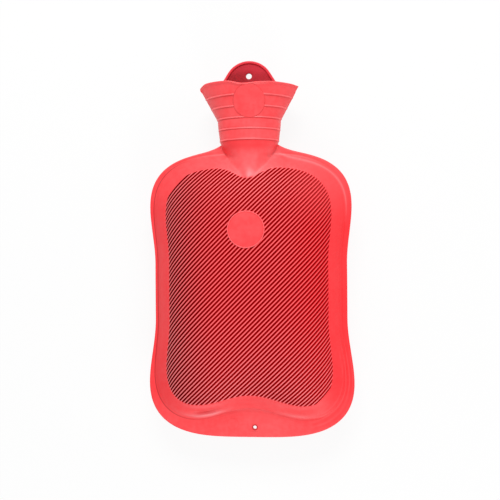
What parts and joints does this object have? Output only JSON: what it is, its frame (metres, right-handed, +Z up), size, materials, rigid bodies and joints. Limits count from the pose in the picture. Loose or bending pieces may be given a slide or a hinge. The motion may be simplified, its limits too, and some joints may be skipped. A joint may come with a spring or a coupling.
{
  "type": "hot water bottle",
  "caption": "Moulded rubber water bottle with a diagonally ribbed front, a ringed funnel neck and a screw stopper with a flat round handle.",
  "frame": {"origin": "middle of the flat back face, on the surface that the bottle lies on", "axes": "+X across the bottle, +Y along it towards the mouth, +Z up, out of the ribbed front"},
  "size_m": [0.1972, 0.3609, 0.0625],
  "materials": {
    "red_rubber": "satin, soft sheen",
    "insert_plastic": "matte",
    "washer_rubber": "matte",
    "ruby_plastic": "semi-gloss, grainy"
  },
  "bodies": {
    "bottle": {"bladder": "red_rubber", "neck_insert": "insert_plastic"},
    "seal": {"sealing_washer": "washer_rubber"},
    "stopper": {"stopper": "ruby_plastic"}
  },
  "joints": [
    {"name": "washer_lift", "type": "slide", "parent": "bottle", "child": "seal", "axis": [0, 1, 0], "range_m": [0, 0.01575]},
    {"name": "stopper_turn", "type": "hinge", "parent": "seal", "child": "stopper", "pos_m": [0, 0.1625, 0.0305], "axis": [0, 1, 0], "range_deg": [0, 1620]}
  ],
  "couplings": [
    {"joint": "washer_lift", "follows": "stopper_turn", "m_per_rad": 0.000557}
  ]
}
